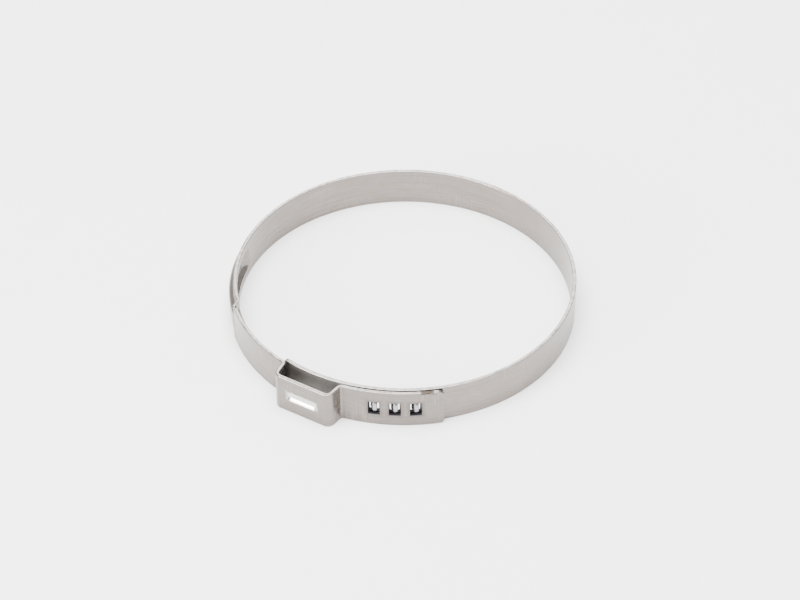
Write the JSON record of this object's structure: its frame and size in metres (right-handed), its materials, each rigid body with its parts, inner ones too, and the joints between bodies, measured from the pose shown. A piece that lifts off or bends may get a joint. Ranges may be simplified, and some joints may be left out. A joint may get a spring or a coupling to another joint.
{
  "type": "single-ear hose clamp",
  "caption": "Open stepless ear clamp for a hose: round strip band with hooks in windows, tongue and channel, and one crimp ear.",
  "frame": {"origin": "centre of the outline's bounding box, on the plane of the lower band edge", "axes": "+Z along the hose axis, -Y towards the ear, +Y away from it"},
  "size_m": [0.0756, 0.08, 0.009],
  "materials": {
    "band_steel": "satin, faint brush lines along the strip",
    "strap_steel": "satin with fine cross scratches",
    "ear_steel": "satin, worn bright at the bends",
    "hook_steel": "bright, freshly sheared",
    "tongue_steel": "satin",
    "step_steel": "satin, bright at the bend"
  },
  "bodies": {
    "inner_end": {"inner_end": "band_steel", "hook_1": "hook_steel", "hook_2": "hook_steel", "hook_3": "hook_steel", "tongue": "tongue_steel"},
    "ring_1": {"ring_arc_1": "band_steel"},
    "ring_2": {"ring_arc_2": "band_steel"},
    "ring_3": {"ring_arc_3": "band_steel"},
    "ring_4": {"ring_arc_4": "band_steel"},
    "ring_5": {"ring_arc_5": "band_steel"},
    "ring_6": {"ring_arc_6": "band_steel"},
    "ring_7": {"ring_arc_7": "band_steel"},
    "ring_8": {"ring_arc_8": "band_steel"},
    "tail": {"tongue_channel": "band_steel", "lap_step": "step_steel", "rear_lap": "band_steel"},
    "front_lap": {"front_lap": "band_steel"},
    "left_leg": {"ear_leg_left": "ear_steel"},
    "crown": {"ear_crown": "ear_steel"},
    "right_leg": {"ear_leg_right": "ear_steel"},
    "strap": {"strap": "strap_steel"}
  },
  "joints": [
    {"name": "ring_bend_1", "type": "hinge", "parent": "inner_end", "child": "ring_1", "pos_m": [0.02778, -0.02282, 0.0045], "axis": [0, 0, 1], "range_deg": [0, 1.75]},
    {"name": "ring_bend_2", "type": "hinge", "parent": "ring_1", "child": "ring_2", "pos_m": [0.0364, -0.00639, 0.0045], "axis": [0, 0, 1], "range_deg": [0, 1.19]},
    {"name": "ring_bend_3", "type": "hinge", "parent": "ring_2", "child": "ring_3", "pos_m": [0.03605, 0.01217, 0.0045], "axis": [0, 0, 1], "range_deg": [0, 0.67]},
    {"name": "ring_bend_4", "type": "hinge", "parent": "ring_3", "child": "ring_4", "pos_m": [0.02683, 0.02828, 0.0045], "axis": [0, 0, 1], "range_deg": [0, 0.31]},
    {"name": "ring_bend_5", "type": "hinge", "parent": "ring_4", "child": "ring_5", "pos_m": [0.011, 0.03797, 0.0045], "axis": [0, 0, 1], "range_deg": [0, 0.25]},
    {"name": "ring_bend_6", "type": "hinge", "parent": "ring_5", "child": "ring_6", "pos_m": [-0.00754, 0.03886, 0.0045], "axis": [0, 0, 1], "range_deg": [0, 0.34]},
    {"name": "ring_bend_7", "type": "hinge", "parent": "ring_6", "child": "ring_7", "pos_m": [-0.02422, 0.03072, 0.0045], "axis": [0, 0, 1], "range_deg": [0, 0.7]},
    {"name": "ring_bend_8", "type": "hinge", "parent": "ring_7", "child": "ring_8", "pos_m": [-0.03494, 0.01557, 0.0045], "axis": [0, 0, 1], "range_deg": [0, 1.2]},
    {"name": "ring_bend_9", "type": "hinge", "parent": "ring_8", "child": "tail", "pos_m": [-0.03705, -0.00287, 0.0045], "axis": [0, 0, 1], "range_deg": [0, 1.7]},
    {"name": "unhook", "type": "hinge", "parent": "tail", "child": "front_lap", "pos_m": [-0.01298, -0.03402, 0.0045], "axis": [0, 0, -1], "range_deg": [0, 30]},
    {"name": "ear_close", "type": "hinge", "parent": "front_lap", "child": "left_leg", "pos_m": [-0.00714, -0.03581, 0.0045], "axis": [0, 0, -1], "range_deg": [0, 46.8]},
    {"name": "left_shoulder_bend", "type": "hinge", "parent": "left_leg", "child": "crown", "pos_m": [-0.00627, -0.03932, 0.0045], "axis": [0, 0, 1], "range_deg": [0, 43]},
    {"name": "right_shoulder_bend", "type": "hinge", "parent": "crown", "child": "right_leg", "pos_m": [0.00627, -0.03932, 0.0045], "axis": [0, 0, 1], "range_deg": [0, 43]},
    {"name": "right_foot_bend", "type": "hinge", "parent": "right_leg", "child": "strap", "pos_m": [0.00714, -0.03581, 0.0045], "axis": [0, 0, -1], "range_deg": [0, 47]}
  ],
  "couplings": [
    {"joint": "ring_bend_1", "follows": "ear_close", "ratio": 0.037077},
    {"joint": "ring_bend_2", "follows": "ear_close", "ratio": 0.025043},
    {"joint": "ring_bend_3", "follows": "ear_close", "ratio": 0.013985},
    {"joint": "ring_bend_4", "follows": "ear_close", "ratio": 0.006292},
    {"joint": "ring_bend_5", "follows": "ear_close", "ratio": 0.004873},
    {"joint": "ring_bend_6", "follows": "ear_close", "ratio": 0.006744},
    {"joint": "ring_bend_7", "follows": "ear_close", "ratio": 0.014626},
    {"joint": "ring_bend_8", "follows": "ear_close", "ratio": 0.025251},
    {"joint": "ring_bend_9", "follows": "ear_close", "ratio": 0.035974},
    {"joint": "left_shoulder_bend", "follows": "ear_close", "ratio": 0.91507},
    {"joint": "right_shoulder_bend", "follows": "ear_close", "ratio": 0.91507},
    {"joint": "right_foot_bend", "follows": "ear_close", "ratio": 1}
  ]
}
